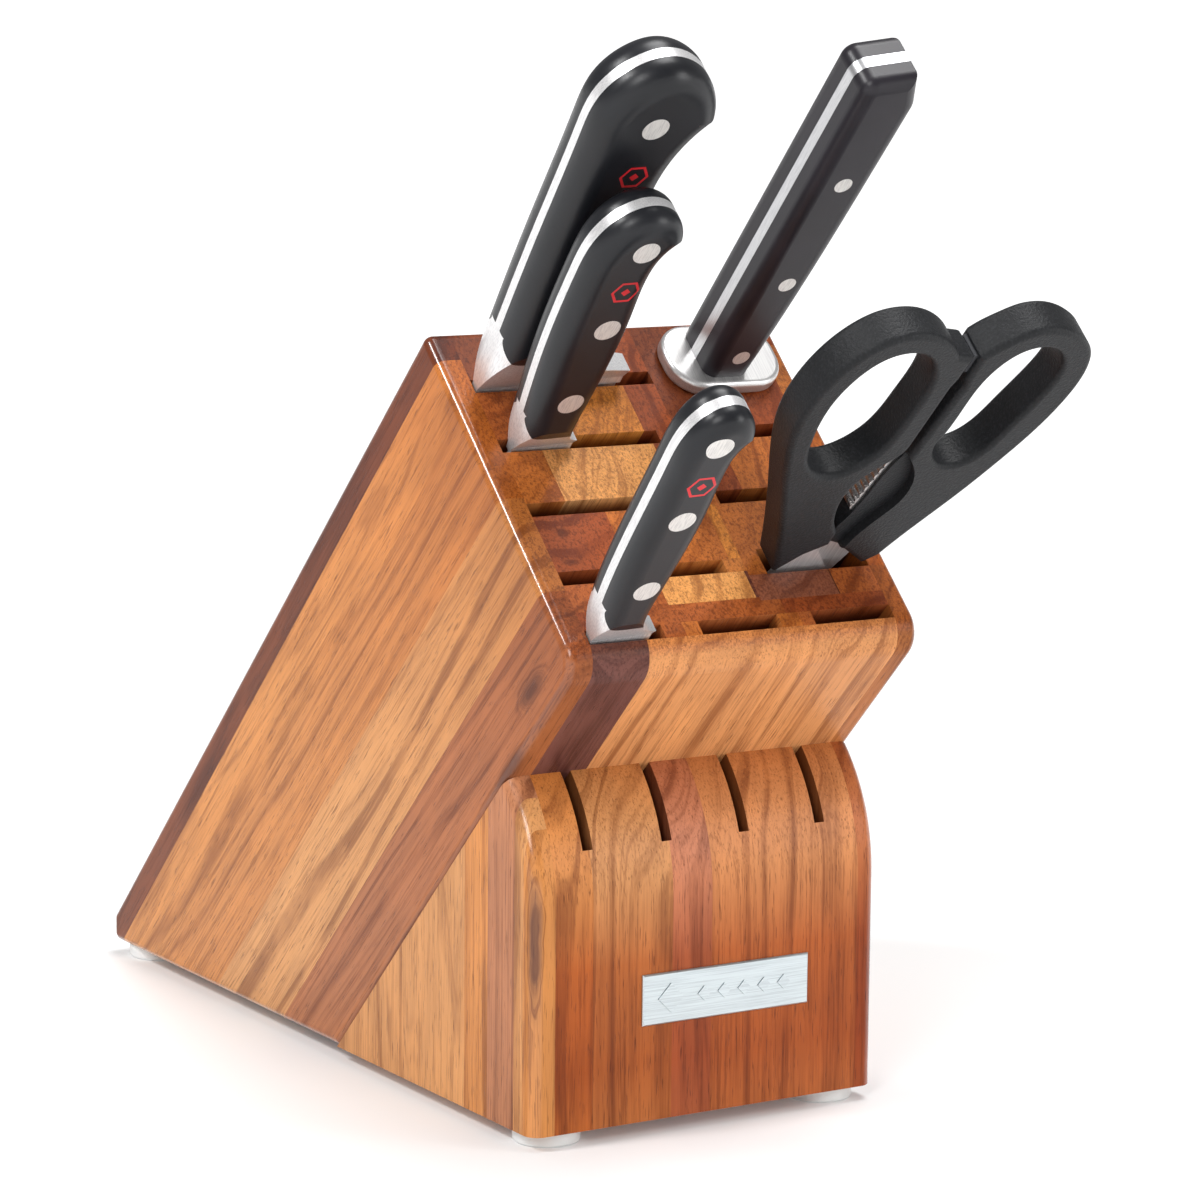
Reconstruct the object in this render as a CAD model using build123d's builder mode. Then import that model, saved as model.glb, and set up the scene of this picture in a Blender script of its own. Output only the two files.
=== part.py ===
from build123d import *
from dataclasses import dataclass
import math
import os

os.makedirs("parts", exist_ok=True)

# Driving dimensions of a 45 degree knife block and of the tools that stand in it, in millimetres.
# x runs across the block, s runs down the slope of its slot face, and h stands up from that face.

BLOCK_WIDTH = 120.0
SLOPE = math.radians(45)          # the slots lean forward by this much from the table
BACK_LENGTH = 320.7               # back face, from the table line up to the slot face
FACE_DEPTH = 122.2                # slot face, from its top edge down to the nose
HEEL_CUT = 9.0                    # upright facet that blunts the low back corner
CHEEK = 8.0                       # side boards
CORE_LEFT = CHEEK - BLOCK_WIDTH / 2
CORE_RIGHT = BLOCK_WIDTH / 2 - 7.5
NOSE_RADIUS = 9.0
TOP_RADIUS = 3.0
SIDE_RADIUS = 3.0

# The overall box is centred on the origin, with the rubber feet standing on z = 0.
BLOCK_MID_X = -8.6
BACK_LINE_Y = 196.1
PAD_HEIGHT = 4.5
PAD_RADIUS = 10.0

# Knife slots: one row at a time, as (low s, high s).
SLOT = 4.8
ROW_MIDDLES = (21.0, 43.3, 66.9, 91.6, 112.3)
ROW_1, ROW_2, ROW_3, ROW_4, ROW_5 = [(s - SLOT / 2, s + SLOT / 2) for s in ROW_MIDDLES]
SHEARS_ROW = (86.6, 95.6)
LONG_SLOT_END = 9.2               # where the top slot and the boards beside it end
MID_SLOT_END = 2.1
ROW_4_SLOT_END = 3.5
SHORT_SLOT_START, SHORT_SLOT_END = 12.0, 46.0
SHEARS_SLOT_START = 16.4
ROW_4_SPLIT = 10.0
FRONT_SLOTS = ((CORE_LEFT, -26.7), (-14.3, 13.1), (24.6, CORE_RIGHT))

STEEL_X, STEEL_S = 32.0, 17.0
STEEL_BORE_RADIUS = 7.0

# The foot: a block under the overhang, with four slots for table knives.
FOOT_FRONT = 291.4                # from the back line to the front of the foot
FOOT_STRAIGHT = 65.0              # height of the upright front, below the round shoulder
FOOT_HEIGHT = 103.1               # where the round shoulder meets the underside of the block
FOOT_RADIUS = 4.5
FOOT_SLOT = 3.5
FOOT_SLOT_PITCH = 26.9
FOOT_SLOT_DEPTH = 23.8            # square to the underside of the block

PLATE_SIZE = (58.0, 15.2, 0.9)
PLATE_RELIEF = 0.3
PLATE_X, PLATE_Z = 5.8, 36.3

RUN = 400.0                       # longer than anything that it cuts
CLEAR = RUN / 20                  # starts a cut well outside the block

ACROSS = Vector(1, 0, 0)
UP_SLOT = Vector(0, -math.cos(SLOPE), math.sin(SLOPE))
DOWN_FACE = Vector(0, -math.sin(SLOPE), -math.cos(SLOPE))
BASE = Vector(BLOCK_MID_X, BACK_LINE_Y, PAD_HEIGHT)
TOP_EDGE = BASE + UP_SLOT * BACK_LENGTH


def on_face(x, s, h=0.0):
    """A point x across and s down the slot face, h above it."""
    return TOP_EDGE + ACROSS * x + DOWN_FACE * s + UP_SLOT * h


def upright_plane(x, s, lean=0.0):
    """The plane of a blade: its own x runs across the block and its own y up the slot."""
    angle = math.radians(lean)
    across = ACROSS * math.cos(angle) + UP_SLOT * math.sin(angle)
    return Plane(origin=on_face(x, s), x_dir=across, z_dir=DOWN_FACE)


def side_plane(x):
    """A plane square to the block's width, with y forward of the back line counted positive."""
    return Plane(origin=BASE + ACROSS * x, x_dir=(0, -1, 0), z_dir=(-1, 0, 0))


FACE_PLANE = Plane(origin=TOP_EDGE, x_dir=ACROSS, z_dir=UP_SLOT)


def keep(piece, name):
    """Labels a finished piece and writes its STEP file."""
    piece.part.label = name
    export_step(piece.part, f"parts/{name}.step")


# ---------------------------------------------------------------- the wooden block

back_reach = BACK_LENGTH * math.cos(SLOPE)
nose_reach = back_reach + FACE_DEPTH * math.sin(SLOPE)
nose_height = back_reach - FACE_DEPTH * math.cos(SLOPE)
TOP_CORNER = (back_reach, back_reach)
NOSE_CORNER = (nose_reach, nose_height)
UNDER_CORNER = (nose_reach - nose_height, 0)
FOOT_TOUCH = (UNDER_CORNER[0] + FOOT_HEIGHT, FOOT_HEIGHT)

with BuildPart() as body_blank:
    with BuildSketch(side_plane(BLOCK_WIDTH / 2)):
        with BuildLine():
            Polyline(
                (HEEL_CUT, 0), (HEEL_CUT, HEEL_CUT), TOP_CORNER, NOSE_CORNER, UNDER_CORNER, close=True
            )
        make_face()
    extrude(amount=BLOCK_WIDTH)
    fillet(body_blank.edges().filter_by(Axis.X).sort_by(Axis.Y)[0], NOSE_RADIUS)
    fillet(body_blank.edges().filter_by(Axis.X).sort_by(Axis.Z)[-1], TOP_RADIUS)
    fillet(body_blank.edges().filter_by(Axis.X).sort_by(Axis.Y)[-2:], TOP_RADIUS)
    side_edges = body_blank.faces().filter_by(Axis.X).edges()
    table_line = side_edges.sort_by(Axis.Z)[0].center().Z
    fillet(side_edges.filter_by(lambda edge: edge.center().Z > table_line + 1), SIDE_RADIUS)


def face_rectangle(x_low, x_high, s_low, s_high):
    """A rectangle on the slot face, from its four limits."""
    with Locations(((x_low + x_high) / 2, -(s_low + s_high) / 2)):
        Rectangle(x_high - x_low, s_high - s_low)


def make_board(name, limits):
    """Cuts each rectangle of limits out of the shaped block, right down to the table."""
    with BuildPart() as board:
        add(body_blank.part)
        with BuildSketch(FACE_PLANE.offset(CLEAR)):
            for x_low, x_high, (s_low, s_high) in limits:
                face_rectangle(x_low, x_high, s_low, s_high)
        extrude(amount=-RUN, mode=Mode.INTERSECT)
    keep(board, name)


FULL_DEPTH = (-CLEAR, FACE_DEPTH + CLEAR)
make_board("left_cheek", [(-BLOCK_WIDTH, CORE_LEFT, FULL_DEPTH)])
make_board("right_cheek", [(CORE_RIGHT, BLOCK_WIDTH, FULL_DEPTH)])
make_board("back_board", [(CORE_LEFT, LONG_SLOT_END, (-CLEAR, ROW_1[0]))])
make_board("second_board", [(CORE_LEFT, LONG_SLOT_END, (ROW_1[1], ROW_2[0]))])
make_board("third_board", [(CORE_LEFT, CORE_RIGHT, (ROW_2[1], ROW_3[0]))])
make_board("fourth_board_left", [(CORE_LEFT, ROW_4_SPLIT, (ROW_3[1], ROW_4[0]))])
make_board("fourth_board_right", [(ROW_4_SPLIT, CORE_RIGHT, (ROW_3[1], SHEARS_ROW[0]))])
make_board("fifth_board_left", [(CORE_LEFT, ROW_4_SPLIT, (ROW_4[1], ROW_5[0]))])
make_board("fifth_board_right", [(ROW_4_SPLIT, CORE_RIGHT, (SHEARS_ROW[1], ROW_5[0]))])
make_board("front_board", [(CORE_LEFT, CORE_RIGHT, (ROW_5[1], FULL_DEPTH[1]))])
make_board(
    "second_row_spacers",
    [(MID_SLOT_END, SHORT_SLOT_START, ROW_2), (SHORT_SLOT_END, CORE_RIGHT, ROW_2)],
)
make_board(
    "third_row_spacers",
    [(MID_SLOT_END, SHORT_SLOT_START, ROW_3), (SHORT_SLOT_END, CORE_RIGHT, ROW_3)],
)
make_board("fourth_row_spacer", [(ROW_4_SLOT_END, ROW_4_SPLIT, ROW_4)])
make_board("shears_slot_spacer", [(ROW_4_SPLIT, SHEARS_SLOT_START, SHEARS_ROW)])
make_board(
    "front_row_spacers",
    [
        (FRONT_SLOTS[0][1], FRONT_SLOTS[1][0], ROW_5),
        (FRONT_SLOTS[1][1], FRONT_SLOTS[2][0], ROW_5),
    ],
)

with BuildPart() as steel_stave:
    add(body_blank.part)
    with BuildSketch(FACE_PLANE.offset(CLEAR)):
        face_rectangle(LONG_SLOT_END, CORE_RIGHT, -CLEAR, ROW_2[0])
    extrude(amount=-RUN, mode=Mode.INTERSECT)
    with BuildSketch(FACE_PLANE.offset(CLEAR)):
        with Locations((STEEL_X, -STEEL_S)):
            Circle(STEEL_BORE_RADIUS)
    extrude(amount=-RUN, mode=Mode.SUBTRACT)
keep(steel_stave, "steel_stave")

# ---------------------------------------------------------------- the foot

with BuildPart() as foot_blank:
    with BuildSketch(side_plane(BLOCK_WIDTH / 2)):
        with BuildLine():
            Polyline(FOOT_TOUCH, UNDER_CORNER, (FOOT_FRONT, 0), (FOOT_FRONT, FOOT_STRAIGHT))
            TangentArc((FOOT_FRONT, FOOT_STRAIGHT), FOOT_TOUCH, tangent=(0, 1))
        make_face()
    extrude(amount=BLOCK_WIDTH)
    foot_sides = foot_blank.faces().filter_by(Axis.X).edges()
    shoulder_edges = foot_sides.filter_by(GeomType.CIRCLE)
    upright_edges = foot_sides.filter_by(Axis.Z)
    fillet(shoulder_edges + upright_edges, FOOT_RADIUS)

foot_slots = [(index - 1.5) * FOOT_SLOT_PITCH for index in range(4)]
stave_lefts = [-BLOCK_WIDTH] + [x + FOOT_SLOT / 2 for x in foot_slots]
stave_rights = [x - FOOT_SLOT / 2 for x in foot_slots] + [BLOCK_WIDTH]

for number, (x_low, x_high) in enumerate(zip(stave_lefts, stave_rights), start=1):
    with BuildPart() as stave:
        add(foot_blank.part)
        with BuildSketch(Plane.XY.offset(-RUN / 2)):
            with Locations((BLOCK_MID_X + (x_low + x_high) / 2, 0)):
                Rectangle(x_high - x_low, 2 * RUN)
        extrude(amount=RUN, mode=Mode.INTERSECT)
    keep(stave, f"foot_stave_{number}")

with BuildPart() as foot_fillers:
    add(foot_blank.part)
    with BuildSketch(Plane.XY.offset(-RUN / 2)):
        for x in foot_slots:
            with Locations((BLOCK_MID_X + x, 0)):
                Rectangle(FOOT_SLOT, 2 * RUN)
    extrude(amount=RUN, mode=Mode.INTERSECT)
    with BuildSketch(FACE_PLANE.offset(CLEAR)):
        face_rectangle(-BLOCK_WIDTH, BLOCK_WIDTH, FACE_DEPTH - 1, FACE_DEPTH + FOOT_SLOT_DEPTH)
    extrude(amount=-RUN, mode=Mode.SUBTRACT)
keep(foot_fillers, "foot_fillers")

# The name plate carries no lettering, only one large and five small raised diamonds.
LARGE_DIAMOND = 4.4
SMALL_DIAMOND = 2.2
with BuildPart() as name_plate:
    plate_middle = BASE + Vector(PLATE_X, -FOOT_FRONT, PLATE_Z)
    with BuildSketch(Plane(origin=plate_middle, x_dir=(1, 0, 0), z_dir=(0, -1, 0))):
        Rectangle(PLATE_SIZE[0], PLATE_SIZE[1])
    extrude(amount=PLATE_SIZE[2])
    plate_front = name_plate.faces().sort_by(Axis.Y)[0]
    chamfer(plate_front.edges(), 0.4)
    with BuildSketch(Plane(origin=plate_front.center(), x_dir=(1, 0, 0), z_dir=(0, -1, 0))):
        with Locations((-19.5, 0)):
            RegularPolygon(LARGE_DIAMOND, 4)
        with Locations((6.0, 0)):
            with GridLocations(7.0, 0, 5, 1):
                RegularPolygon(SMALL_DIAMOND, 4)
    extrude(amount=PLATE_RELIEF)
keep(name_plate, "name_plate")

# ---------------------------------------------------------------- rubber feet and their screws

PAD_INSET = 12.0
BACK_PAD_Y = 20.0
PAD_SIDE = BLOCK_WIDTH / 2 - PAD_INSET
SCREW_HEAD_RADIUS = 3.6
SCREW_HEAD = 2.0
pad_points = [
    BASE + Vector(side * PAD_SIDE, -reach, -PAD_HEIGHT)
    for side in (-1, 1)
    for reach in (BACK_PAD_Y, FOOT_FRONT - PAD_INSET)
]
pad_spots = [(point.X, point.Y) for point in pad_points]

with BuildPart() as rubber_feet:
    with BuildSketch(Plane.XY):
        with Locations(*pad_spots):
            Circle(PAD_RADIUS)
    extrude(amount=PAD_HEIGHT)
    fillet(rubber_feet.edges().group_by(Axis.Z)[0], 1.0)
    with BuildSketch(Plane.XY):
        with Locations(*pad_spots):
            Circle(SCREW_HEAD_RADIUS)
    extrude(amount=PAD_HEIGHT, mode=Mode.SUBTRACT)
keep(rubber_feet, "rubber_feet")

with BuildPart() as foot_screws:
    with BuildSketch(Plane.XY.offset(PAD_HEIGHT - SCREW_HEAD)):
        with Locations(*pad_spots):
            Circle(SCREW_HEAD_RADIUS)
    extrude(amount=SCREW_HEAD)
    chamfer(foot_screws.edges().group_by(Axis.Z)[0], 0.6)
keep(foot_screws, "foot_screws")

# ---------------------------------------------------------------- the three forged knives


@dataclass
class Knife:
    """One forged knife. Outline points are (across, along) in the plane of its blade, measured
    from the spine at the mouth of its slot; along is positive up the handle."""

    name: str
    x: float
    s: float
    lean: float
    spine: list
    butt: list
    belly: list
    thickness: float
    rounding: float
    scale_start: float
    heel: float
    heel_rise: float
    tip: tuple
    edge: list
    rivets: list
    inlay: tuple

    def plane(self):
        return upright_plane(self.x, self.s, self.lean)


TANG = 3.2                        # full tang, which shows as a bright strip round the handle
BLADE = 2.6                       # at the spine
CUTTING_EDGE = 0.4
SPINE_INSET = 0.8                 # from the bolster's corner to the spine of the blade
BOLSTER_START = -2.5
MOUTH_GAP = 0.3                   # the bolster swells this far above the slot
BOLSTER_SWELL = 6.0               # and is at full thickness this far above its line with the scales
SCALE_CORNER = 9.0                # round lower corner of each scale, at the spine
RIVET_RADIUS = 4.0
INLAY_DEPTH = 1.2
INLAY_RADIUS = 4.6
INLAY_LINE = 0.9
INLAY_DOT = 1.5

chef = Knife(
    name="chef_knife",
    x=-51.2,
    s=21.0,
    lean=3.5,
    spine=[(-1.9, 24), (-4.4, 66), (-6.3, 110), (-5.4, 125.5)],
    butt=[(0.8, 134.6), (10.5, 138.6), (20.5, 135.2), (28.4, 126.4)],
    belly=[(31.3, 118.0), (25.4, 107.5), (23.0, 95.0), (24.4, 70.0), (23.4, 45.0), (22.5, 24.0)],
    thickness=20.0,
    rounding=7.2,
    scale_start=18.0,
    heel=48.5,
    heel_rise=5.0,
    tip=(11.0, -200.0),
    edge=[(47.5, -60), (43.5, -115), (32, -162)],
    rivets=[(8.8, 39), (9.6, 79), (10.2, 119)],
    inlay=(10.6, 100),
)
utility = Knife(
    name="utility_knife",
    x=-48.4,
    s=43.3,
    lean=4.0,
    spine=[(-2.6, 17), (-6.0, 47), (-7.3, 78), (-6.2, 91.5)],
    butt=[(-1.4, 100.2), (7.2, 104.2), (14.6, 101.7), (18.6, 96.8)],
    belly=[(19.6, 93.5), (15.4, 87.5), (14.2, 80.0), (15.2, 62.0), (15.6, 40.0), (14.8, 20.0)],
    thickness=17.0,
    rounding=6.1,
    scale_start=9.0,
    heel=19.5,
    heel_rise=3.0,
    tip=(6.0, -120.0),
    edge=[(19.0, -50), (16.5, -85)],
    rivets=[(6.2, 28.2), (6.3, 60.4), (6.7, 92.6)],
    inlay=(6.1, 76.5),
)
paring = Knife(
    name="paring_knife",
    x=-51.0,
    s=112.3,
    lean=4.0,
    spine=[(-3.6, 17), (-5.6, 45), (-6.4, 80), (-5.4, 94.5)],
    butt=[(-1.0, 101.8), (4.8, 103.9), (10.0, 101.5), (13.1, 96.8)],
    belly=[(13.8, 93.8), (11.1, 88.5), (10.5, 80.0), (11.6, 62.0), (11.4, 40.0), (10.6, 20.0)],
    thickness=16.0,
    rounding=5.2,
    scale_start=10.0,
    heel=19.0,
    heel_rise=3.0,
    tip=(6.0, -90.0),
    edge=[(18.6, -40), (15.0, -66)],
    rivets=[(3.1, 31.4), (2.4, 62.4), (1.8, 93.8)],
    inlay=(2.5, 77.5),
)


def handle_blank(knife):
    """Bolster and handle as one shaped bar, from which tang, bolster and scales are cut."""
    half = knife.thickness / 2
    plane = knife.plane()
    with BuildPart() as blank:
        with BuildSketch(plane):
            with BuildLine():
                low_spine = (0, BOLSTER_START)
                heel_low = (knife.heel, BOLSTER_START)
                heel_high = (knife.heel, knife.heel_rise)
                Spline(low_spine, *knife.spine, *knife.butt, knife.belly[0])
                Spline(*knife.belly)
                neck = knife.belly[-1]
                Spline(neck, heel_high, tangents=((0.0, -1.0), (1.0, -0.25)))
                Polyline(heel_high, heel_low, low_spine)
            make_face()
        extrude(amount=half, both=True)
        rims = blank.faces().filter_by(Axis(plane.origin, plane.z_dir)).edges()
        fillet(rims.filter_by(GeomType.BSPLINE), knife.rounding)
        full_thickness = knife.scale_start + BOLSTER_SWELL
        with BuildSketch(Plane(origin=plane.origin, x_dir=plane.z_dir, z_dir=-plane.x_dir)):
            with BuildLine():
                Polyline(
                    (-half, RUN),
                    (-half, full_thickness),
                    (-TANG / 2, MOUTH_GAP),
                    (-TANG / 2, BOLSTER_START),
                    (TANG / 2, BOLSTER_START),
                    (TANG / 2, MOUTH_GAP),
                    (half, full_thickness),
                    (half, RUN),
                    close=True,
                )
            make_face()
        extrude(amount=RUN, both=True, mode=Mode.INTERSECT)
    return blank.part


def above_bolster(knife, side):
    """Everything above the line where one scale meets the bolster, on the face of the tang."""
    low = knife.scale_start
    start = (knife.spine[0][0], low + SCALE_CORNER)
    end = (knife.spine[0][0] + SCALE_CORNER, low)
    with BuildSketch(knife.plane().offset(side * TANG / 2)) as region:
        with BuildLine():
            TangentArc(start, end, tangent=(0, -1))
            Polyline(end, (RUN, low), (RUN, RUN), (-RUN, RUN), (-RUN, start[1]), start)
        make_face()
    return region.sketch


def make_scale(knife, blank, side):
    """One handle scale: side is 1 towards the front of the block, -1 towards its back."""
    with BuildPart() as scale:
        add(blank)
        extrude(above_bolster(knife, side), amount=side * knife.thickness, mode=Mode.INTERSECT)
        with BuildSketch(knife.plane()):
            with Locations(*knife.rivets):
                Circle(RIVET_RADIUS)
        extrude(amount=knife.thickness, both=True, mode=Mode.SUBTRACT)
        if side > 0:
            with BuildSketch(knife.plane().offset(knife.thickness / 2 - INLAY_DEPTH)):
                inlay_outline(knife)
            extrude(amount=knife.thickness, mode=Mode.SUBTRACT)
    return scale


def inlay_outline(knife):
    """A thin red hexagon round a small square dot."""
    with Locations(knife.inlay):
        RegularPolygon(INLAY_RADIUS, 6)
        RegularPolygon(INLAY_RADIUS - INLAY_LINE, 6, mode=Mode.SUBTRACT)
        RegularPolygon(INLAY_DOT, 4)


def make_forging(knife, blank):
    """Blade, bolster and full tang, forged as one."""
    plane = knife.plane()
    spine_start = (SPINE_INSET, knife.heel_rise)
    spine_end = (SPINE_INSET, knife.tip[1] * 0.55)
    heel_low = (knife.heel, BOLSTER_START)
    with BuildPart() as forging:
        with BuildSketch(plane):
            with BuildLine():
                Line(spine_start, spine_end)
                Spline(spine_end, knife.tip, tangents=((0.0, -1.0), (0.16, -1.0)))
                Spline(knife.tip, *reversed(knife.edge), heel_low)
                Polyline(heel_low, (knife.heel, 0), spine_start)
            make_face()
        extrude(amount=BLADE / 2, both=True)
        with BuildSketch(Plane(origin=plane.origin, x_dir=plane.x_dir, z_dir=plane.y_dir)):
            with BuildLine():
                Polyline(
                    (-1, -BLADE / 2),
                    (knife.heel + 1, -CUTTING_EDGE / 2),
                    (knife.heel + 1, CUTTING_EDGE / 2),
                    (-1, BLADE / 2),
                    close=True,
                )
            make_face()
        extrude(amount=RUN, both=True, mode=Mode.INTERSECT)
        add(blank)
        for side in (-1, 1):
            extrude(above_bolster(knife, side), amount=side * knife.thickness, mode=Mode.SUBTRACT)
        with BuildSketch(plane):
            with Locations(*knife.rivets):
                Circle(RIVET_RADIUS)
        extrude(amount=knife.thickness, both=True, mode=Mode.SUBTRACT)
    return forging


for knife in (chef, utility, paring):
    blank = handle_blank(knife)
    keep(make_forging(knife, blank), f"{knife.name}_blade")
    keep(make_scale(knife, blank, 1), f"{knife.name}_front_scale")
    keep(make_scale(knife, blank, -1), f"{knife.name}_back_scale")
    with BuildPart() as rivets:
        with BuildSketch(knife.plane()):
            with Locations(*knife.rivets):
                Circle(RIVET_RADIUS)
        extrude(amount=knife.thickness / 2, both=True)
        add(blank, mode=Mode.INTERSECT)
    keep(rivets, f"{knife.name}_rivets")
    with BuildPart() as inlay:
        with BuildSketch(knife.plane().offset(knife.thickness / 2 - INLAY_DEPTH)):
            inlay_outline(knife)
        extrude(amount=INLAY_DEPTH)
        add(blank, mode=Mode.INTERSECT)
    keep(inlay, f"{knife.name}_inlay")

# ---------------------------------------------------------------- the honing steel

ROD_RADIUS = 5.0
ROD_LENGTH = 230.0
GUARD_GAP = 0.1
GUARD_TOP = 5.3
GUARD_SIZE = (39.0, 24.0)
GUARD_CORNER = 10.5
GUARD_ROUND = 1.6
STEEL_TANG = 3.6
STEEL_HANDLE = 19.0
STEEL_BUTT_CORNERS = (5.0, 7.0)
STEEL_ROUND = 4.0
STEEL_RIVET_RADIUS = 2.8
STEEL_RIVETS = [(0.2, 14.0), (0.4, 47.0), (-1.6, 90.0)]
steel_plane = upright_plane(STEEL_X, STEEL_S)
steel_base = Plane(origin=on_face(STEEL_X, STEEL_S), x_dir=ACROSS, z_dir=UP_SLOT)

steel_thickness = Axis(steel_plane.origin, steel_plane.z_dir)


def butt_corners(blank):
    """The upright edges at the top of the steel's handle, from left to right."""
    high = GUARD_TOP + RUN / 4
    edges = blank.edges().filter_by(steel_thickness)
    edges = edges.filter_by(lambda edge: steel_plane.to_local_coords(edge.center()).Y > high)
    return edges.sort_by(lambda edge: steel_plane.to_local_coords(edge.center()).X)


with BuildPart() as steel_handle_blank:
    with BuildSketch(steel_plane):
        with BuildLine():
            belly_top = (7.4, 122.0)
            belly_low = (7.2, GUARD_TOP)
            Polyline(belly_low, (-8.4, GUARD_TOP), (-13.4, 130.0), (3.0, 133.0), belly_top)
            Spline(belly_top, (8.2, 80.0), (8.4, 45.0), belly_low)
        make_face()
    extrude(amount=STEEL_HANDLE / 2, both=True)
    fillet(butt_corners(steel_handle_blank)[0], STEEL_BUTT_CORNERS[0])
    fillet(butt_corners(steel_handle_blank)[-2:], STEEL_BUTT_CORNERS[1])
    steel_rims = steel_handle_blank.faces().filter_by(steel_thickness).edges()
    guard_line = steel_base.offset(GUARD_TOP + 1)
    fillet(
        steel_rims.filter_by(lambda edge: guard_line.to_local_coords(edge.center()).Z > 0), STEEL_ROUND
    )

with BuildPart() as steel_rod:
    with BuildSketch(steel_base.offset(GUARD_TOP)):
        Circle(ROD_RADIUS)
    extrude(amount=-ROD_LENGTH - GUARD_TOP)
    fillet(steel_rod.edges().sort_by(Axis.Z)[0], ROD_RADIUS * 0.8)
    add(steel_handle_blank.part)
    for side in (-1, 1):
        with BuildSketch(steel_plane.offset(side * STEEL_TANG / 2)):
            with Locations((0, GUARD_TOP + RUN / 2)):
                Rectangle(RUN, RUN)
        extrude(amount=side * STEEL_HANDLE, mode=Mode.SUBTRACT)
    with BuildSketch(steel_plane):
        with Locations(*STEEL_RIVETS):
            Circle(STEEL_RIVET_RADIUS)
    extrude(amount=STEEL_HANDLE, both=True, mode=Mode.SUBTRACT)
keep(steel_rod, "steel_rod")

with BuildPart() as steel_guard:
    with BuildSketch(steel_base.offset(GUARD_GAP)):
        with Locations((1.5, -0.5)):
            RectangleRounded(*GUARD_SIZE, GUARD_CORNER)
        Circle(ROD_RADIUS, mode=Mode.SUBTRACT)
    extrude(amount=GUARD_TOP - GUARD_GAP)
    guard_faces = steel_guard.faces().filter_by(Axis(steel_base.origin, UP_SLOT))
    fillet([edge for face in guard_faces for edge in face.outer_wire().edges()], GUARD_ROUND)
keep(steel_guard, "steel_guard")

for side, place in ((1, "front"), (-1, "back")):
    with BuildPart() as steel_scale:
        add(steel_handle_blank.part)
        with BuildSketch(steel_plane.offset(side * STEEL_TANG / 2)):
            Rectangle(RUN, RUN)
        extrude(amount=side * STEEL_HANDLE, mode=Mode.INTERSECT)
        with BuildSketch(steel_plane):
            with Locations(*STEEL_RIVETS):
                Circle(STEEL_RIVET_RADIUS)
        extrude(amount=STEEL_HANDLE, both=True, mode=Mode.SUBTRACT)
    keep(steel_scale, f"steel_{place}_scale")

with BuildPart() as steel_rivets:
    with BuildSketch(steel_plane):
        with Locations(*STEEL_RIVETS):
            Circle(STEEL_RIVET_RADIUS)
    extrude(amount=STEEL_HANDLE / 2, both=True)
    add(steel_handle_blank.part, mode=Mode.INTERSECT)
keep(steel_rivets, "steel_rivets")

# ---------------------------------------------------------------- the kitchen shears

SHEARS_S = sum(SHEARS_ROW) / 2
SHEARS_HANDLE = 12.0
SHEARS_ROUND = 1.9
LOOP_ROUND = 1.6
SHEARS_PLATE = 2.4
SHEARS_GAP = 0.05                 # between the two blades, and round the pivot
PIVOT = (33.5, -14.0)
PIVOT_RADIUS = 4.0
PIVOT_HEAD = 6.5
PIVOT_HEAD_HEIGHT = 1.6
DRIVER_SLOT = 1.6
GRIP_TOOTH = 1.7
GRIP_STEP = 3.2                   # half the thickness of the right handle behind its teeth
shears_plane = upright_plane(0, SHEARS_S)
shears_axis = Axis(shears_plane.origin, shears_plane.z_dir)

with BuildPart() as shears_blade_left:
    with BuildSketch(shears_plane.offset(SHEARS_GAP)):
        with BuildLine():
            Polyline(
                (27.0, -22), (22.0, -6), (19.5, 6), (21, 17), (29, 17),
                (31, 8), (41, -5), (46.0, -16), (45.5, -40),
            )
            Spline((45.5, -40), (42.5, -72), (35.5, -96), tangents=((0, -1), (-0.5, -1)))
            Polyline((35.5, -96), (27.0, -22))
        make_face()
        with Locations(PIVOT):
            Circle(PIVOT_RADIUS, mode=Mode.SUBTRACT)
    extrude(amount=SHEARS_PLATE)
keep(shears_blade_left, "shears_blade_left")

with BuildPart() as shears_blade_right:
    with BuildSketch(shears_plane.offset(-SHEARS_GAP)):
        with BuildLine():
            Polyline(
                (40.0, -22), (44.5, -6), (48.5, 6), (50, 15), (40, 17),
                (36, 8), (25.5, -5), (21.0, -16), (21.5, -40),
            )
            Spline((21.5, -40), (24.5, -72), (31.5, -96), tangents=((0, -1), (0.5, -1)))
            Polyline((31.5, -96), (40.0, -22))
        make_face()
        with Locations(PIVOT):
            Circle(PIVOT_RADIUS + SHEARS_GAP, mode=Mode.SUBTRACT)
    extrude(amount=-SHEARS_PLATE)
keep(shears_blade_right, "shears_blade_right")

with BuildPart() as shears_pivot:
    stack = SHEARS_PLATE + 2 * SHEARS_GAP
    with BuildSketch(shears_plane):
        with Locations(PIVOT):
            Circle(PIVOT_RADIUS)
    extrude(amount=stack, both=True)
    for side in (-1, 1):
        with BuildSketch(shears_plane.offset(side * stack)):
            with Locations(PIVOT):
                Circle(PIVOT_HEAD)
        extrude(amount=side * PIVOT_HEAD_HEIGHT)
    heads = shears_pivot.faces().filter_by(shears_axis).sort_by(shears_axis)
    chamfer(heads[0].edges() + heads[-1].edges(), 0.6)
    with BuildSketch(shears_plane.offset(stack + 1.0)):
        with Locations(PIVOT):
            Rectangle(2 * PIVOT_HEAD, DRIVER_SLOT)
    extrude(amount=1, mode=Mode.SUBTRACT)
keep(shears_pivot, "shears_pivot")

LEFT_NOTCH = [(36.4, 59), (35, 54), (30.5, 49), (26.6, 43.5), (24.9, 36.5), (25.8, 29.5), (28, 23.5)]
RIGHT_GRIP = [(32.0, 19.5), (34.8, 29), (36.0, 40), (38.5, 51)]
STEP_LINE = [(36.5, 5), (37.5, 15.5), (41.5, 24.5), (45.5, 32.5), (45.5, 42), (41.5, 49.5), (34, 57)]


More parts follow.
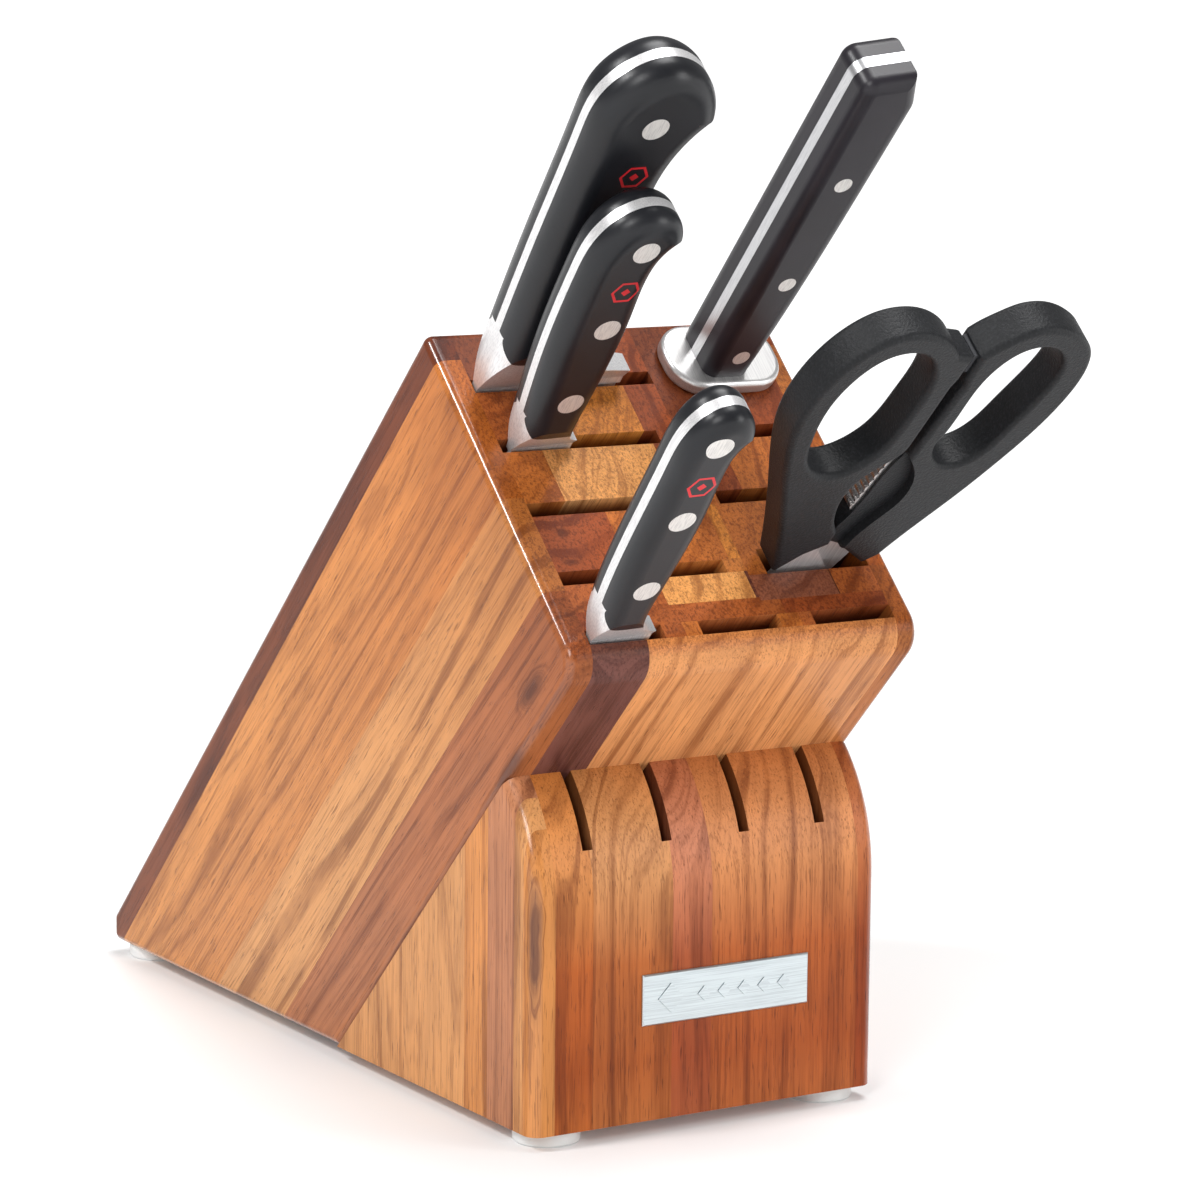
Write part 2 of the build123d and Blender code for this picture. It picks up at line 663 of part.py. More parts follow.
def grip_teeth(points, start, count):
    """A row of round teeth along part of a curved edge."""
    with BuildLine() as edge_line:
        edge = Spline(*points)
    share = (1 - start) / count
    return [edge @ (start + share * index) for index in range(count)]


with BuildPart() as shears_grip_left:
    with BuildSketch(shears_plane):
        with Locations(*grip_teeth(LEFT_NOTCH, 0.3, 9)):
            Circle(GRIP_TOOTH)
    extrude(amount=SHEARS_PLATE, both=True)
keep(shears_grip_left, "shears_grip_left")

with BuildPart() as shears_grip_right:
    with BuildSketch(shears_plane):
        with Locations(*grip_teeth(RIGHT_GRIP, 0.25, 9)):
            Circle(GRIP_TOOTH)
    extrude(amount=SHEARS_PLATE, both=True)
keep(shears_grip_right, "shears_grip_right")

with BuildPart() as shears_handle_left:
    with BuildSketch(shears_plane):
        with BuildLine():
            Spline(
                (17, 2), (12.5, 14), (4.6, 33), (-4.5, 54), (-9.0, 71), (-8.2, 86),
                (-3, 98.5), (5.3, 106), (15.8, 107.5), (26, 103.5), (32.5, 97.5),
            )
            Polyline((32.5, 97.5), (37.4, 96.5), (37.4, 88), (36.6, 84), (36.4, 59))
            Spline(*LEFT_NOTCH)
            Polyline((28, 23.5), (31, 19), (31, 13.5), (23.8, 9.2), (17, 2))
        make_face()
        with BuildLine():
            Spline(
                (0.3, 64), (-1.0, 76), (1.1, 88), (9.0, 98.2), (19.9, 98.3), (27, 90),
                (28.4, 70), (24.9, 53.8), (14, 46.8), (4.5, 52.5), periodic=True,
            )
        make_face(mode=Mode.SUBTRACT)
    extrude(amount=SHEARS_HANDLE / 2, both=True)
    fillet(shears_handle_left.faces().filter_by(shears_axis).edges(), SHEARS_ROUND)
    add(shears_blade_left.part, mode=Mode.SUBTRACT)
    add(shears_grip_left.part, mode=Mode.SUBTRACT)
keep(shears_handle_left, "shears_handle_left")

with BuildPart() as shears_handle_right:
    with BuildSketch(shears_plane):
        with BuildLine():
            Polyline((47.5, 3), (38.0, 10.2), (32.2, 12.5), RIGHT_GRIP[0])
            Spline(*RIGHT_GRIP)
            Polyline(RIGHT_GRIP[-1], (40.8, 84), (40.0, 88), (40.0, 96.5))
            Spline(
                (40.0, 96.5), (43.0, 100.0), (47.5, 103.5), (53, 106.7), (61, 107.4), (71, 103.5), (78.5, 97),
                (81.8, 88), (81.8, 77), (78.8, 63), (73.5, 49), (66, 33), (57, 16.5), (52.2, 6.5),
            )
            Line((52.2, 6.5), (47.5, 3))
        make_face()
        with BuildLine():
            Spline(
                (45.4, 60), (46.4, 75), (48.2, 90), (54.5, 98.2), (64.5, 98.6), (71.2, 91),
                (71.3, 79), (67.5, 64), (61.0, 50.0), (53, 48.2), periodic=True,
            )
        make_face(mode=Mode.SUBTRACT)
    extrude(amount=SHEARS_HANDLE / 2, both=True)
    right_faces = shears_handle_right.faces().filter_by(shears_axis)
    right_rims = [edge for face in right_faces for edge in face.outer_wire().edges()]
    right_loop = [edge for face in right_faces for wire in face.inner_wires() for edge in wire.edges()]
    fillet(right_loop, LOOP_ROUND)
    fillet(right_rims, SHEARS_ROUND)
    for side in (-1, 1):
        with BuildSketch(shears_plane.offset(side * GRIP_STEP)):
            with BuildLine():
                Spline(*STEP_LINE)
                Polyline(STEP_LINE[-1], (20, 57), (20, 5), STEP_LINE[0])
            make_face()
        extrude(amount=side * SHEARS_HANDLE, mode=Mode.SUBTRACT)
    add(shears_blade_right.part, mode=Mode.SUBTRACT)
    add(shears_grip_right.part, mode=Mode.SUBTRACT)
keep(shears_handle_right, "shears_handle_right")

# Two rubber stops meet between the loops and set the closed position.
BUMPER_REACH = 1.15
BUMPER_SIZE = (8.0, 7.0)
BUMPER_MIDDLE_H = 92.2
for name, x, direction in (("shears_bumper_left", 37.4, 1), ("shears_bumper_right", 40.0, -1)):
    seat = shears_plane.from_local_coords((x, BUMPER_MIDDLE_H, 0))
    with BuildPart() as bumper:
        with BuildSketch(Plane(origin=seat, x_dir=shears_plane.z_dir, z_dir=ACROSS * direction)):
            Rectangle(*BUMPER_SIZE)
        extrude(amount=BUMPER_REACH)
        ends = bumper.faces().filter_by(Axis.X).sort_by(Axis(seat, ACROSS * direction))
        chamfer(ends[-1].edges(), 0.3)
    keep(bumper, name)
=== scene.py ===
"""A knife block with three knives, a honing steel and kitchen shears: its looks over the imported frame."""

import math

import bpy
from mathutils import Matrix, Vector


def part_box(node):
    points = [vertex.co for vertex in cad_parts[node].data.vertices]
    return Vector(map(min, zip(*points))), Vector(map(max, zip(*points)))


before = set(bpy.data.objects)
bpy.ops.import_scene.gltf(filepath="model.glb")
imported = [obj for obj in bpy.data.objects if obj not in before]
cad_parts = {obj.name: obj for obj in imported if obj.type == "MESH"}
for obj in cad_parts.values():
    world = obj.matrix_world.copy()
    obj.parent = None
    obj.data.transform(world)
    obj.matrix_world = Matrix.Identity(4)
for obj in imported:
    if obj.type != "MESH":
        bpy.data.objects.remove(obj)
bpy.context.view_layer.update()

MM = 0.001

# ---------------------------------------------------------------- places, from the frame
HEEL_CUT = 9.0  # mm: the back face would run this far past the cut heel
BACK_LENGTH = 320.7  # mm: up the back face, from the base plane to the slot face
left_low, left_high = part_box("left_cheek")
right_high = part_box("right_cheek")[1]
BASE = Vector(((left_low.x + right_high.x) / 2 / MM, left_high.y / MM + HEEL_CUT, left_low.z / MM))
UP_SLOT = Vector((0.0, -1.0, 1.0)).normalized()
DOWN_FACE = Vector((0.0, -1.0, -1.0)).normalized()
TOP_EDGE = BASE + BACK_LENGTH * UP_SLOT

# A wood space is measured in mm as (across, along the grain, through).
BLOCK_SPACE = (math.radians(225), (-TOP_EDGE.x, -TOP_EDGE.dot(UP_SLOT), -TOP_EDGE.dot(DOWN_FACE)))
FOOT_SPACE = (math.radians(-90), (-BASE.x, 0.0, 0.0))
CORE_LEFT = -52.4
CORE_RIGHT = 52.8

# ---------------------------------------------------------------- timber colours
UMBER = (0.075, 0.020, 0.010)
PLUM = (0.150, 0.055, 0.043)
CHESTNUT = (0.190, 0.052, 0.020)
RED = (0.300, 0.078, 0.026)
RUSSET = (0.400, 0.125, 0.040)
ORANGE = (0.500, 0.175, 0.045)
AMBER = (0.640, 0.270, 0.060)
TAN = (0.560, 0.222, 0.062)
PALE = (0.565, 0.262, 0.096)
STRAW = (0.720, 0.385, 0.150)
GLUE = (0.110, 0.040, 0.018)

# Tints that a stave's colour is multiplied by.
LIGHT_TINT = (1.32, 1.30, 1.22)
DARK_TINT = (0.40, 0.29, 0.24)
DEEP_TINT = (0.20, 0.13, 0.10)
END_TINT = (0.94, 0.78, 0.58)


# ---------------------------------------------------------------- node helpers
def new_material(name):
    """Returns the material, its node tree and its surface shader."""
    material = bpy.data.materials.new(name)
    material.use_nodes = True
    return material, material.node_tree, material.node_tree.nodes["Principled BSDF"]


def put(tree, kind, inputs=None, out=0, **settings):
    """Adds one node and returns its output. An input is a plain value or another node's output."""
    made = tree.nodes.new("ShaderNode" + kind)
    for name, value in settings.items():
        setattr(made, name, value)
    for key, value in (inputs or {}).items():
        if isinstance(value, bpy.types.NodeSocket):
            tree.links.new(value, made.inputs[key])
        else:
            made.inputs[key].default_value = value
    return made.outputs[out]


def calc(tree, operation, a, b=0.0):
    """One step of arithmetic between values or outputs."""
    return put(tree, "Math", {0: a, 1: b}, operation=operation)


def scaled(tree, vector, factors):
    """The vector times a factor per axis, which sets how fast a pattern changes along it."""
    return put(tree, "VectorMath", {0: vector, 1: factors}, operation="MULTIPLY")


def smooth(tree, value, low, high, top=1.0):
    """0 below low and top above high, with a soft step between."""
    settings = {"Value": value, "From Min": low, "From Max": high, "To Min": 0.0, "To Max": top}
    return put(tree, "MapRange", settings, interpolation_type="SMOOTHSTEP")


def mix(tree, factor, a, b, how="MIX"):
    """Colour a at factor 0 and colour b, or their product, at factor 1."""
    a, b = (c if isinstance(c, bpy.types.NodeSocket) else (*c, 1.0) for c in (a, b))
    return put(tree, "Mix", {0: factor, 6: a, 7: b}, out=2, data_type="RGBA", blend_type=how)


def noise(tree, vector, detail=2.0, roughness=0.5, distortion=0.0):
    inputs = {"Vector": vector, "Scale": 1.0, "Detail": detail}
    inputs.update({"Roughness": roughness, "Distortion": distortion})
    return put(tree, "TexNoise", inputs)


def ramp(tree, factor, stops, interpolation="LINEAR"):
    """A colour ramp from (position, colour) stops."""
    made = tree.nodes.new("ShaderNodeValToRGB")
    made.color_ramp.interpolation = interpolation
    points = made.color_ramp.elements
    points.remove(points[1])
    points[0].position = stops[0][0]
    points[0].color = (*stops[0][1], 1.0)
    for place, colour in stops[1:]:
        points.new(place).color = (*colour, 1.0)
    tree.links.new(factor, made.inputs[0])
    return made.outputs[0]


def object_place(tree, turn=0.0, origin=(0.0, 0.0, 0.0)):
    """The object's own coordinates in mm, turned about X."""
    place = put(tree, "TexCoord", out=3)
    settings = {"Vector": place, "Location": origin, "Rotation": (turn, 0.0, 0.0), "Scale": (1000.0,) * 3}
    return put(tree, "Mapping", settings)


def bump(tree, height, strength, distance):
    """Fine relief; distance in mm."""
    return put(tree, "Bump", {"Height": height, "Strength": strength, "Distance": distance * MM})


# ---------------------------------------------------------------- wood
GLUE_LINE = 0.06  # mm
STAVE_SHIFT = (170.0, 900.0, -260.0)  # mm of pattern shift per unit of stave colour
RINGS_PER_MM = 0.17
RING_WANDER = 6.0  # rings that the pattern wanders off the true circle
KNOT_CROWDING = 2.2  # extra rings drawn around a knot
CORE_EDGE = 50.0  # mm from the middle: the foot's slots lie inside this


def staves(tree, place, edges, colours):
    """Flat stave colours, one between each two edges in mm, with a thin glue line between neighbours."""
    span = edges[-1] - edges[0]
    share = put(tree, "MapRange", {"Value": place, "From Min": edges[0], "From Max": edges[-1]})
    stops = [(0.0, colours[0])]
    for edge, colour in zip(edges[1:-1], colours[1:]):
        middle = (edge - edges[0]) / span
        stops.append((middle - GLUE_LINE / span / 2, GLUE))
        stops.append((middle + GLUE_LINE / span / 2, colour))
    return ramp(tree, share, stops, "CONSTANT")


def stave_layers(tree, place, pick, layers):
    """Rows of staves. Each row is (start along pick, axis its staves are laid along, edges, colours)."""
    shown = None
    for start, axis, edges, colours in layers:
        layer = staves(tree, place[axis], edges, colours)
        if shown is None:
            shown = layer
        else:
            shown = mix(tree, calc(tree, "GREATER_THAN", place[pick], start), shown, layer)
    return shown


def knot_factor(tree, grain, centre, size):
    """1 in the middle of a knot and 0 outside it; centre and size in mm."""
    wobble = noise(tree, scaled(tree, grain, (0.12, 0.06, 0.12)), detail=2.0)
    offset = put(tree, "VectorMath", {0: grain, 1: centre}, operation="SUBTRACT")
    reach = put(tree, "VectorMath", {0: offset, 1: size}, operation="DIVIDE")
    distance = put(tree, "VectorMath", {0: reach}, out=1, operation="LENGTH")
    return smooth(tree, calc(tree, "ADD", distance, wobble), 1.6, 0.55)


def sideways(tree):
    """1 where the surface faces straight left or right, and 0 where it faces neither way."""
    normal = put(tree, "TexCoord", out=1)
    turned = put(tree, "VectorMath", {0: normal, 1: (1.0, 0.0, 0.0)}, out=1, operation="DOT_PRODUCT")
    return calc(tree, "ABSOLUTE", turned)


def edge_gloss(tree):
    """Lacquer gathers on the rounded edges beside the cheeks, so they shine more than the faces."""
    turned = sideways(tree)
    rounded = calc(tree, "SUBTRACT", smooth(tree, turned, 0.15, 0.40), smooth(tree, turned, 0.88, 0.98))
    return calc(tree, "ADD", calc(tree, "MULTIPLY", rounded, 0.75), 0.05)


def slot_shade(tree, place, space):
    """How much painted shade darkens a slot's walls: it grows with depth in the block, and is 0 on the
    outside.
    """
    if space is BLOCK_SPACE:
        return smooth(tree, place["along"], -0.3, -8.0, 0.88)
    facing = smooth(tree, sideways(tree), 0.7, 0.9, 0.80)
    inside = calc(tree, "LESS_THAN", calc(tree, "ABSOLUTE", place["across"]), CORE_EDGE)
    return calc(tree, "MULTIPLY", facing, inside)


def wood(name, space, pick, layers, fade, knots=(), fade_from=-500.0, painted_slot_shade=False):
    """Lacquered acacia: staves with rings, fibres, pores, knots and darker end grain.

    space is where the wood is measured, pick the axis along which a row of staves starts and layers the rows.
    fade is a tint along the grain, for places past fade_from; on the foot it is partly painted shade. Each
    knot is (centre, size) in mm. The last argument adds painted shade to the slot walls.
    """
    material, tree, surface = new_material(name)
    turn, origin = space
    grain = object_place(tree, turn, origin)
    split = tree.nodes.new("ShaderNodeSeparateXYZ")
    tree.links.new(grain, split.inputs[0])
    place = dict(zip(("across", "along", "through"), split.outputs))
    base = stave_layers(tree, place, pick, layers)
    fade_span = fade[-1][0] - fade[0][0]
    share = put(tree, "MapRange", {"Value": place["along"], "From Min": fade[0][0], "From Max": fade[-1][0]})
    fading = ramp(tree, share, [((at - fade[0][0]) / fade_span, tint) for at, tint in fade])
    shift = put(tree, "VectorMath", {0: base, 1: STAVE_SHIFT}, operation="MULTIPLY")
    base = mix(tree, calc(tree, "GREATER_THAN", place[pick], fade_from), base, fading, "MULTIPLY")
    timber = put(tree, "VectorMath", {0: grain, 1: shift}, operation="ADD")

    wander = noise(tree, scaled(tree, timber, (0.026, 0.0028, 0.026)), detail=2.0)
    cone = scaled(tree, timber, (1.0, 0.05, 1.0))
    radius = put(tree, "VectorMath", {0: cone}, out=1, operation="LENGTH")
    turns = calc(tree, "MULTIPLY", radius, RINGS_PER_MM)
    turns = calc(tree, "ADD", turns, calc(tree, "MULTIPLY", wander, RING_WANDER))
    for centre, size in knots:
        crowding = calc(tree, "MULTIPLY", knot_factor(tree, grain, centre, size), KNOT_CROWDING)
        turns = calc(tree, "ADD", turns, crowding)
    rings = put(
        tree,
        "TexNoise",
        {"W": turns, "Scale": 1.0, "Detail": 4.0, "Roughness": 0.62},
        noise_dimensions="1D",
    )
    fibres = noise(tree, scaled(tree, timber, (1.5, 0.030, 1.5)), detail=4.0, roughness=0.65)
    mottle = noise(tree, scaled(tree, timber, (0.09, 0.025, 0.09)), detail=3.0)
    pores = smooth(tree, noise(tree, scaled(tree, timber, (2.4, 0.13, 2.4)), detail=2.0), 0.60, 0.70)

    dark = mix(tree, 1.0, base, DARK_TINT, "MULTIPLY")
    light = mix(tree, 1.0, base, LIGHT_TINT, "MULTIPLY")
    shown = mix(tree, smooth(tree, rings, 0.44, 0.68, 0.78), base, dark)
    shown = mix(tree, smooth(tree, mottle, 0.42, 0.66, 0.45), shown, light)
    shown = mix(tree, smooth(tree, fibres, 0.50, 0.68, 0.52), shown, dark)
    shown = mix(tree, smooth(tree, fibres, 0.48, 0.28, 0.35), shown, light)
    deep = mix(tree, 1.0, base, DEEP_TINT, "MULTIPLY")
    shown = mix(tree, calc(tree, "MULTIPLY", pores, 0.55), shown, deep)
    for centre, size in knots:
        shown = mix(tree, calc(tree, "MULTIPLY", knot_factor(tree, grain, centre, size), 0.8), shown, UMBER)

    normal = put(tree, "TexCoord", out=1)
    toward = tuple(UP_SLOT) if space is BLOCK_SPACE else (0.0, 0.0, 1.0)
    facing = put(tree, "VectorMath", {0: normal, 1: toward}, out=1, operation="DOT_PRODUCT")
    ending = smooth(tree, facing, 0.70, 0.90)
    speckle = noise(tree, scaled(tree, timber, (1.1, 1.1, 0.7)), detail=5.0, roughness=0.75)
    end_colour = mix(tree, 1.0, shown, END_TINT, "MULTIPLY")
    end_colour = mix(tree, smooth(tree, speckle, 0.48, 0.62, 0.85), end_colour, dark)
    shown = mix(tree, ending, shown, end_colour)
    # Painted shade: the slot walls are mixed toward the deep tint, darker the deeper they lie.
    if painted_slot_shade:
        shown = mix(tree, slot_shade(tree, place, space), shown, deep)

    height = calc(tree, "SUBTRACT", calc(tree, "MULTIPLY", fibres, 0.5), pores)
    height = calc(tree, "ADD", height, calc(tree, "MULTIPLY", calc(tree, "MULTIPLY", speckle, ending), 0.8))
    roughness = calc(tree, "ADD", calc(tree, "MULTIPLY", fibres, 0.22), 0.26)
    tree.links.new(shown, surface.inputs["Base Color"])
    tree.links.new(roughness, surface.inputs["Roughness"])
    tree.links.new(bump(tree, height, 0.35, 0.16), surface.inputs["Normal"])
    surface.inputs["Specular IOR Level"].default_value = 0.15
    tree.links.new(edge_gloss(tree), surface.inputs["Coat Weight"])
    surface.inputs["Coat Roughness"].default_value = 0.16
    return material


# ---------------------------------------------------------------- metal, plastic and rubber
def brushed(name, colour, roughness, streaks, space=BLOCK_SPACE, depth=0.02, metallic=1.0):
    """Satin steel with fine lines; streaks is how fast the lines change along each axis, per mm."""
    material, tree, surface = new_material(name)
    place = object_place(tree, *space)
    lines = noise(tree, scaled(tree, place, streaks), detail=3.0, roughness=0.6)
    clouds = noise(tree, scaled(tree, place, (0.10, 0.07, 0.10)), detail=3.0)
    worn = mix(tree, 1.0, colour, (0.80, 0.80, 0.81), "MULTIPLY")
    shade = mix(tree, smooth(tree, lines, 0.40, 0.66), colour, worn)
    rough = calc(tree, "ADD", calc(tree, "MULTIPLY", lines, 0.14), roughness - 0.10)
    rough = calc(tree, "ADD", rough, calc(tree, "MULTIPLY", clouds, 0.08))
    tree.links.new(shade, surface.inputs["Base Color"])
    tree.links.new(rough, surface.inputs["Roughness"])
    tree.links.new(bump(tree, lines, 0.30, depth), surface.inputs["Normal"])
    surface.inputs["Metallic"].default_value = metallic
    return material


def plastic(name, colour, roughness, grain_size, depth, strength=0.5, shine=0.35, painted_glint=0.0):
    """Moulded plastic or rubber with a fine skin: grain_size and depth in mm, sparkle for pale flecks painted
    on the skin as glints.
    """
    material, tree, surface = new_material(name)
    place = object_place(tree)
    skin = noise(tree, scaled(tree, place, (1.0 / grain_size,) * 3), detail=3.0, roughness=0.6)
    clouds = noise(tree, scaled(tree, place, (0.05, 0.05, 0.05)), detail=3.0)
    brighter = tuple(min(0.82, 1.43 * c) for c in colour)
    shade = mix(tree, smooth(tree, clouds, 0.35, 0.70, 0.8), colour, brighter)
    # Painted highlight: pale flecks on the skin's raised grain stand in for glints.
    if painted_glint:
        shade = mix(tree, smooth(tree, skin, 0.50, 0.66, painted_glint), shade, tuple(2.6 * c for c in colour))
    rough = calc(tree, "ADD", calc(tree, "MULTIPLY", skin, 0.16), roughness - 0.08)
    rough = calc(tree, "ADD", rough, calc(tree, "MULTIPLY", clouds, 0.06))
    tree.links.new(shade, surface.inputs["Base Color"])
    tree.links.new(rough, surface.inputs["Roughness"])
    tree.links.new(bump(tree, skin, strength, depth), surface.inputs["Normal"])
    surface.inputs["Specular IOR Level"].default_value = shine
    return material


def wear(node, material):
    """Gives a CAD node its finish."""
    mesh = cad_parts[node].data
    if not mesh.materials:
        mesh.materials.append(material)
    for index in range(len(mesh.materials)):
        mesh.materials[index] = material


# ---------------------------------------------------------------- the block's timber
# A fade is (place along the grain in mm, tint). Stave edges and knots are in mm too.
BLOCK_FADE = (
    (-330.0, (1.04, 1.10, 1.20)),
    (-150.0, (1.00, 1.03, 1.08)),
    (-60.0, (0.94, 0.88, 0.82)),
    (5.0, (0.74, 0.60, 0.45)),
)
BOARD_FADE = ((-330.0, (0.9, 0.9, 0.9)), (5.0, (1.0, 1.0, 1.0)))
# The foot darkens and reddens towards the bottom: partly the wood's own tone, partly painted shade.
FOOT_TONE_AND_SHADE = (
    (4.0, (0.74, 0.48, 0.33)),
    (22.0, (0.62, 0.33, 0.18)),
    (52.0, (0.70, 0.42, 0.27)),
    (78.0, (1.05, 1.02, 1.05)),
    (92.0, (1.04, 1.00, 1.00)),
    (110.0, (0.70, 0.55, 0.42)),
)

CHEEK_STAVES = (-5.0, 10.6, 33.0, 62.0, 95.5, 135.0)
LEFT_COLOURS = ((0.175, 0.045, 0.015), TAN, (0.53, 0.205, 0.058), PALE, (0.37, 0.132, 0.052))
cheek_layers = [(0.0, "through", CHEEK_STAVES, LEFT_COLOURS)]
left_knots = [((-60.0, -24.0, 112.0), (6.0, 13.0, 5.5)), ((-60.0, -52.0, 121.0), (6.0, 26.0, 2.6))]
wear("left_cheek", wood("cheek_wood", BLOCK_SPACE, "through", cheek_layers, BLOCK_FADE, left_knots))
right_layers = [(0.0, "through", CHEEK_STAVES, (RUSSET, PALE, TAN, ORANGE, (0.46, 0.18, 0.06)))]
wear("right_cheek", wood("right_cheek_wood", BLOCK_SPACE, "through", right_layers, BLOCK_FADE))

BOARD_STAVES = {
    "back_board": [(0.0, (-60.0, -22.0, 12.5, 25.0, 60.0), (CHESTNUT, RED, AMBER, RED))],
    "second_board": [(0.0, (-60.0, -27.0, -2.0, 18.0, 60.0), (RUSSET, AMBER, RED, CHESTNUT))],
    "third_board": [(0.0, (-60.0, -39.0, -1.0, 22.0, 60.0), (ORANGE, STRAW, RED, ORANGE))],
    "fourth_board_left": [(0.0, (-60.0, -28.0, 6.0, 60.0), (RED, ORANGE, AMBER))],
    "fourth_board_right": [(0.0, (-60.0, 30.0, 60.0), (ORANGE, CHESTNUT))],
    "fifth_board_left": [
        (0.0, (-60.0, -21.5, 8.6, 60.0), (RUSSET, STRAW, PLUM)),
        (103.6, (-60.0, -34.0, 14.5, 60.0), (RED, RUSSET, ORANGE)),
    ],
    "fifth_board_right": [
        (0.0, (-60.0, 37.5, 60.0), ((0.260, 0.100, 0.068), RUSSET)),
        (104.8, (-60.0, 16.0, 60.0), (RUSSET, RED)),
    ],
    "front_board": [(0.0, (-60.0, -33.5, 60.0), (PLUM, (0.62, 0.268, 0.100)))],
    "second_row_spacers": [(0.0, (-60.0, 0.0, 60.0), (ORANGE, RED))],
    "third_row_spacers": [(0.0, (-60.0, 0.0, 60.0), (RUSSET, ORANGE))],
    "fourth_row_spacer": [(0.0, (-60.0, 0.0, 60.0), (RUSSET, TAN))],
    "shears_slot_spacer": [(0.0, (-60.0, 0.0, 60.0), (RUSSET, ORANGE))],
    "front_row_spacers": [(0.0, (-60.0, -20.0, 20.0, 60.0), (RUSSET, ORANGE, RUSSET))],
    "steel_stave": [(0.0, (-60.0, 30.0, 60.0), (CHESTNUT, RED))],
}
BOARD_KNOTS = {
    "fourth_board_left": [((-44.5, -3.0, 75.5), (3.0, 60.0, 2.6)), ((-46.0, -3.0, 86.0), (4.5, 60.0, 1.6))],
}
for node, rows in BOARD_STAVES.items():
    layers = [(start, "across", edges, colours) for start, edges, colours in rows]
    # The inner boards get painted shade on their slot walls.
    inner = node not in ("back_board", "front_board")
    knots = BOARD_KNOTS.get(node, ())
    wear(node, wood(node + "_wood", BLOCK_SPACE, "through", layers, BOARD_FADE, knots, painted_slot_shade=inner))

FOOT_COLOURS = (TAN, PALE, (0.50, 0.190, 0.095), (0.55, 0.225, 0.080))
foot_layers = [
    (0.0, "through", (-300.0, 55.0, 68.0, 84.0, 89.5, 130.0), (PALE, TAN, (0.42, 0.17, 0.08), PALE, TAN)),
    (CORE_LEFT, "across", (-60.0, -40.0, -13.0, 0.5, 60.0), FOOT_COLOURS),
    (CORE_RIGHT, "through", (-300.0, 60.0, 130.0), (TAN, RUSSET)),
]
foot_knots = [((-59.0, 62.0, 94.0), (3.2, 26.0, 5.0))]
# The foot's slot walls get painted shade as well (the last argument).
foot_wood = wood("foot_wood", FOOT_SPACE, "across", foot_layers, FOOT_TONE_AND_SHADE, foot_knots, CORE_LEFT, True)
for number in range(1, 6):
    wear(f"foot_stave_{number}", foot_wood)
wear("foot_fillers", foot_wood)

# ---------------------------------------------------------------- every other finish
ALONG_SLOT = (3.5, 0.05, 3.5)
blade_steel = brushed("blade_steel", (0.82, 0.81, 0.81), 0.32, ALONG_SLOT, metallic=0.65)
rod_steel = brushed("rod_steel", (0.62, 0.62, 0.63), 0.30, (6.0, 0.02, 6.0), depth=0.05)
guard_steel = brushed("guard_steel", (0.72, 0.71, 0.70), 0.34, (4.0, 4.0, 0.06), metallic=0.85)
rivet_metal = brushed("rivet_metal", (0.74, 0.72, 0.69), 0.36, (2.6, 0.3, 2.6), metallic=0.6)
grip_metal = brushed("grip_metal", (0.60, 0.58, 0.57), 0.28, (3.0, 0.2, 3.0))
plate_metal = brushed("plate_metal", (0.60, 0.66, 0.68), 0.34, (0.05, 3.8, 3.8), FOOT_SPACE)
fastener = brushed("fastener", (0.55, 0.55, 0.56), 0.35, (2.0, 2.0, 2.0))
handle_black = plastic("handle_black", (0.0070, 0.0074, 0.0095), 0.31, 0.5, 0.012, 0.25)
steel_handle = plastic("steel_handle_black", (0.0120, 0.0100, 0.0140), 0.33, 0.5, 0.012, 0.25)
shears_plastic = plastic("shears_plastic", (0.0095, 0.0100, 0.0112), 0.44, 0.85, 0.26, 1.0, 0.22, 0.5)
bumper_rubber = plastic("bumper_rubber", (0.0300, 0.0310, 0.0350), 0.52, 0.7, 0.05)
white_rubber = plastic("white_rubber", (0.72, 0.73, 0.72), 0.45, 0.8, 0.03)
red_inlay = plastic("red_inlay", (0.48, 0.012, 0.018), 0.38, 0.4, 0.01)

KNIVES = ("chef_knife", "utility_knife", "paring_knife")
FINISHES = {
    "name_plate": plate_metal,
    "rubber_feet": white_rubber,
    "foot_screws": fastener,
    "steel_rod": rod_steel,
    "steel_guard": guard_steel,
    "steel_front_scale": steel_handle,
    "steel_back_scale": steel_handle,
    "steel_rivets": rivet_metal,
    "shears_blade_left": blade_steel,
    "shears_blade_right": blade_steel,
    "shears_handle_left": shears_plastic,
    "shears_handle_right": shears_plastic,
    "shears_grip_left": grip_metal,
    "shears_grip_right": grip_metal,
    "shears_pivot": grip_metal,
    "shears_bumper_left": bumper_rubber,
    "shears_bumper_right": bumper_rubber,
}
for knife in KNIVES:
    FINISHES[knife + "_blade"] = blade_steel
    FINISHES[knife + "_front_scale"] = handle_black
    FINISHES[knife + "_back_scale"] = handle_black
    FINISHES[knife + "_rivets"] = rivet_metal
    FINISHES[knife + "_inlay"] = red_inlay
for node, finish in FINISHES.items():
    wear(node, finish)

# ---------------------------------------------------------------- camera
CAMERA_FROM_CORNER = Vector((-578.6, -1260.8, 329.7))  # mm, from the block's lower left back corner
AZIMUTH, ELEVATION, ROLL = (math.radians(a) for a in (-31.75, 8.71, 0.55))
LENS = 121.98


def camera_axes():
    """Right, up and back of the camera."""
    right = Vector((math.cos(AZIMUTH), math.sin(AZIMUTH), 0.0))
    back = Vector(
        (
            math.sin(AZIMUTH) * math.cos(ELEVATION),
            -math.cos(AZIMUTH) * math.cos(ELEVATION),
            math.sin(ELEVATION),
        )
    )
    up = back.cross(right)
    across = math.cos(ROLL) * right + math.sin(ROLL) * up
    upward = math.cos(ROLL) * up - math.sin(ROLL) * right
    return across, upward, back


camera = bpy.data.objects.new("camera", bpy.data.cameras.new("camera"))
camera.data.lens = LENS
camera.data.clip_end = 200.0
bpy.context.scene.collection.objects.link(camera)
corner = Vector((left_low.x, BASE.y * MM, left_low.z))
columns = Matrix(camera_axes()).transposed()
camera.matrix_world = Matrix.Translation(corner + CAMERA_FROM_CORNER * MM) @ columns.to_4x4()
bpy.context.scene.camera = camera


